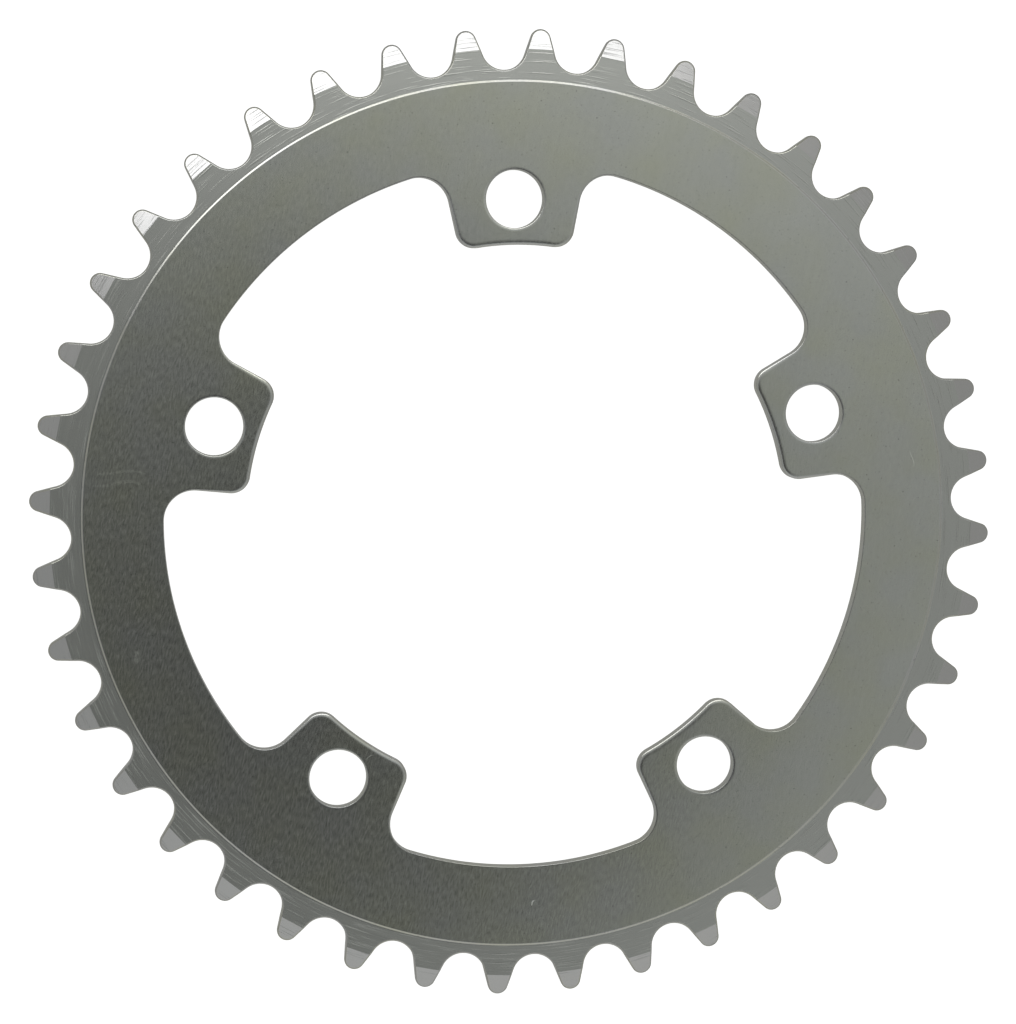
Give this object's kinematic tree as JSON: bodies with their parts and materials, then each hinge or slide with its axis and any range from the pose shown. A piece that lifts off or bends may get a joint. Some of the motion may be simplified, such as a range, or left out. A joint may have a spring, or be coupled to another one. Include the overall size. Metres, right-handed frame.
{
  "type": "bicycle chainring",
  "caption": "Flat toothed chainring with inward bolt arms, bevelled teeth and a raised body, for a bicycle crank.",
  "frame": {"origin": "on the ring's axis at the back face of the body, which is what the ring lies on", "axes": "+Z along the ring's axis, out of the front face that the picture shows; +Y through the centre of the first bolt hole"},
  "size_m": [0.1678, 0.1678, 0.0023],
  "materials": {
    "ring_metal": "satin, fine brushed grain"
  },
  "bodies": {
    "root": {"chainring": "ring_metal"}
  },
  "joints": []
}
